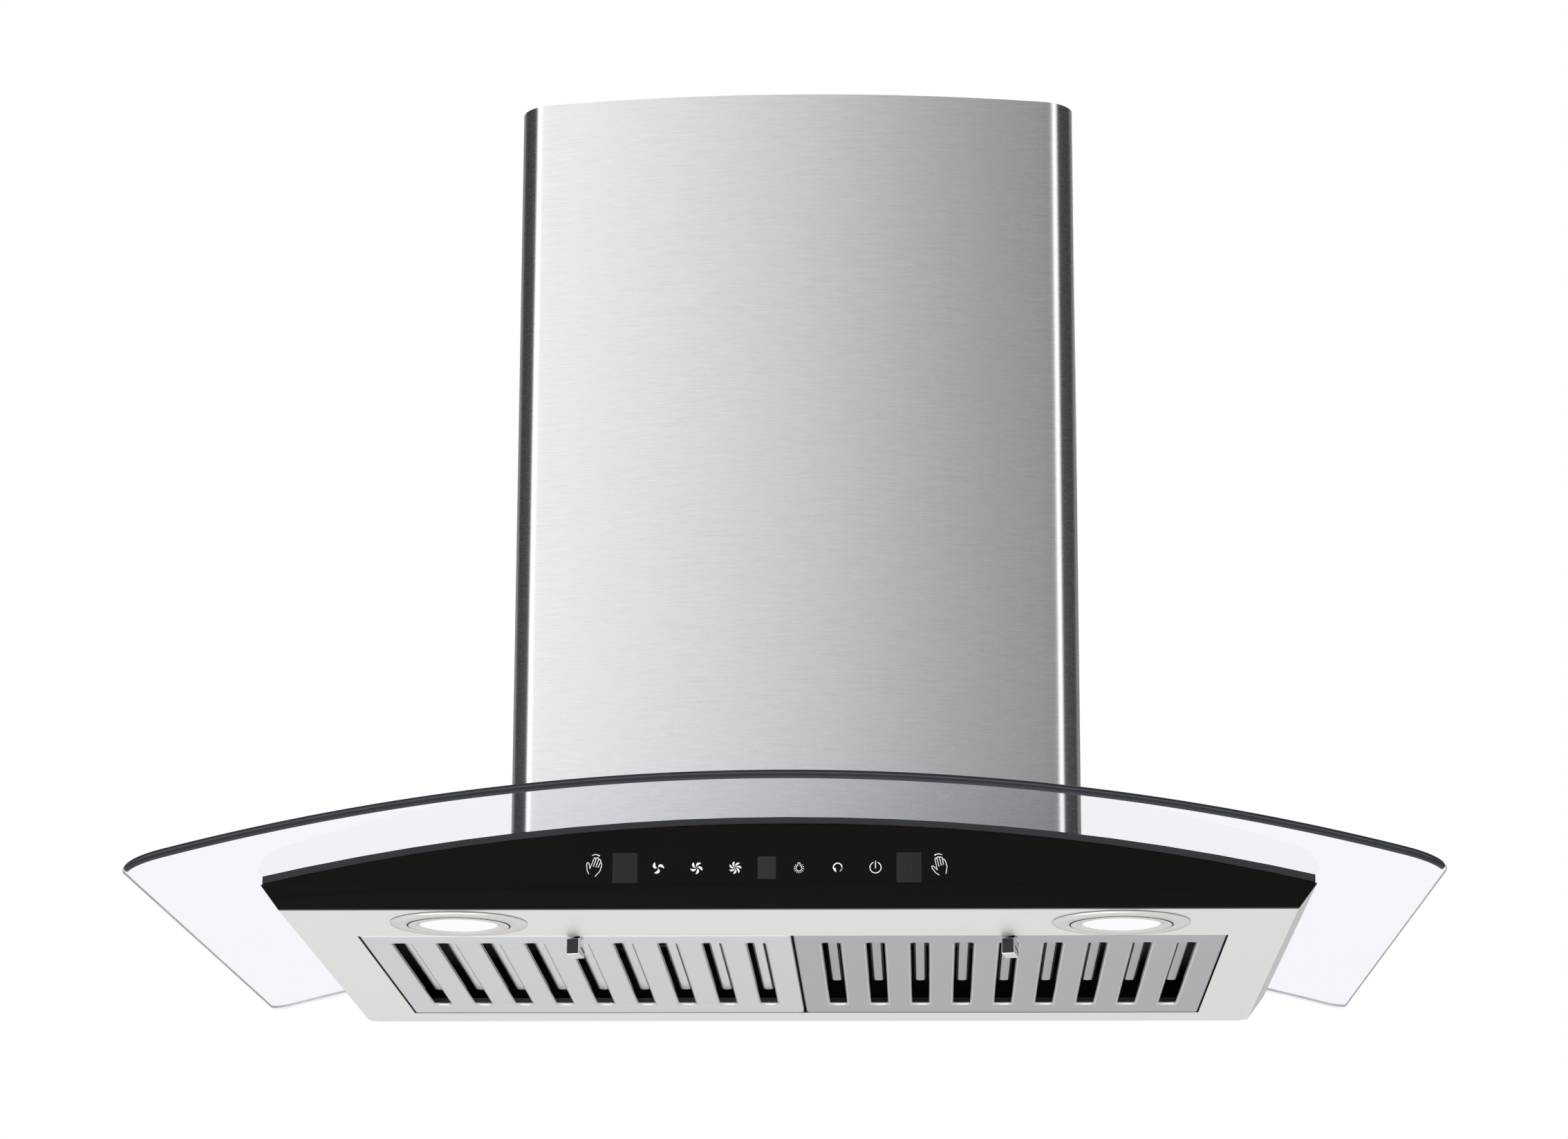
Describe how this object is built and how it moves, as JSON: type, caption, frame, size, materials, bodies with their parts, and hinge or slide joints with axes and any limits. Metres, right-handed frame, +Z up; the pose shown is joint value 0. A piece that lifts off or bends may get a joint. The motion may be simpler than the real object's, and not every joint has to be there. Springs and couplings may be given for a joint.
{
  "type": "range hood",
  "caption": "Wall-mounted chimney range hood with a bowed clear-glass canopy, black touch fascia, round lamps, drop-down baffle filters and a telescopic bowed chimney.",
  "frame": {"origin": "middle of the rear face of the hood body, on the wall plane, 25 mm above the underside", "axes": "+X to the right for a person facing the hood, +Y into the wall, +Z up"},
  "size_m": [0.76, 0.58, 0.572],
  "materials": {
    "satin_steel": "satin brushed stainless, folded sheet",
    "cover_steel": "fine horizontal brushed stainless",
    "filter_steel": "pressed stainless baffle sheet",
    "galvanised": "galvanised sheet",
    "polished_metal": "polished",
    "motor_aluminium": "die cast",
    "black_glass": "back-painted black glass, polished",
    "clear_glass": "clear tempered glass, polished dark front edge",
    "dark_rubber": "matt extruded seal",
    "black_plastic": "moulded",
    "grey_plastic": "moulded",
    "white_plastic": "moulded",
    "frosted_lens": "frosted diffuser",
    "circuit_board": "solder-masked board",
    "display_window": "smoked display window"
  },
  "bodies": {
    "hood": {"body_shell": "satin_steel", "glass_seal": "dark_rubber", "glass_canopy": "clear_glass", "control_fascia": "black_glass", "touch_board": "circuit_board", "display_module": "display_window", "gesture_sensor_left": "black_plastic", "gesture_sensor_right": "black_plastic", "lamp_ring_left": "polished_metal", "lamp_lens_left": "frosted_lens", "lamp_housing_left": "motor_aluminium", "lamp_ring_right": "polished_metal", "lamp_lens_right": "frosted_lens", "lamp_housing_right": "motor_aluminium", "blower_box": "galvanised", "blower_scroll": "grey_plastic", "inlet_ring_right": "grey_plastic", "inlet_ring_left": "grey_plastic", "motor": "motor_aluminium", "motor_bracket": "galvanised", "capacitor": "white_plastic", "control_box_base": "white_plastic", "control_box_lid": "white_plastic", "led_driver": "white_plastic", "cable_gland": "black_plastic", "outlet_collar": "black_plastic", "damper_pin": "polished_metal", "lower_cover": "cover_steel", "wall_rail": "galvanised", "cover_bracket_left": "galvanised", "cover_screw_left": "polished_metal", "cover_bracket_right": "galvanised", "cover_screw_right": "polished_metal", "body_screw_1": "polished_metal", "body_screw_2": "polished_metal", "body_screw_3": "polished_metal", "body_screw_4": "polished_metal"},
    "upper_chimney": {"upper_cover": "cover_steel", "chimney_bracket": "galvanised", "bracket_screw_left": "galvanised", "bracket_screw_right": "galvanised"},
    "impeller": {"impeller": "galvanised", "motor_shaft": "polished_metal"},
    "damper_rear": {"damper_flap_rear": "black_plastic"},
    "damper_front": {"damper_flap_front": "black_plastic"},
    "filter_left": {"filter_frame_left": "filter_steel", "filter_baffle_left": "filter_steel", "latch_housing_left": "black_plastic"},
    "latch_left": {"latch_knob_left": "polished_metal"},
    "filter_right": {"filter_frame_right": "filter_steel", "filter_baffle_right": "filter_steel", "latch_housing_right": "black_plastic"},
    "latch_right": {"latch_knob_right": "polished_metal"}
  },
  "joints": [
    {"name": "upper_cover_slide", "type": "slide", "parent": "hood", "child": "upper_chimney", "axis": [0, 0, 1], "range_m": [0, 0.28]},
    {"name": "filter_drop_left", "type": "hinge", "parent": "hood", "child": "filter_left", "pos_m": [-0.13375, -0.0405, -0.024], "axis": [1, 0, 0], "range_deg": [0, 60]},
    {"name": "latch_slide_left", "type": "slide", "parent": "filter_left", "child": "latch_left", "axis": [0, 1, 0], "range_m": [0, 0.006], "stiffness_N_per_m": 400, "springref_m": -0.004},
    {"name": "filter_drop_right", "type": "hinge", "parent": "hood", "child": "filter_right", "pos_m": [0.13375, -0.0405, -0.024], "axis": [1, 0, 0], "range_deg": [0, 60]},
    {"name": "latch_slide_right", "type": "slide", "parent": "filter_right", "child": "latch_right", "axis": [0, 1, 0], "range_m": [0, 0.006], "stiffness_N_per_m": 400, "springref_m": -0.004},
    {"name": "impeller_spin", "type": "hinge", "parent": "hood", "child": "impeller", "pos_m": [0, -0.17, 0.165], "axis": [1, 0, 0], "continuous": true},
    {"name": "damper_rear_swing", "type": "hinge", "parent": "hood", "child": "damper_rear", "pos_m": [0, -0.09, 0.295], "axis": [1, 0, 0], "range_deg": [0, 75]},
    {"name": "damper_front_swing", "type": "hinge", "parent": "hood", "child": "damper_front", "pos_m": [0, -0.09, 0.295], "axis": [-1, 0, 0], "range_deg": [0, 75]}
  ]
}
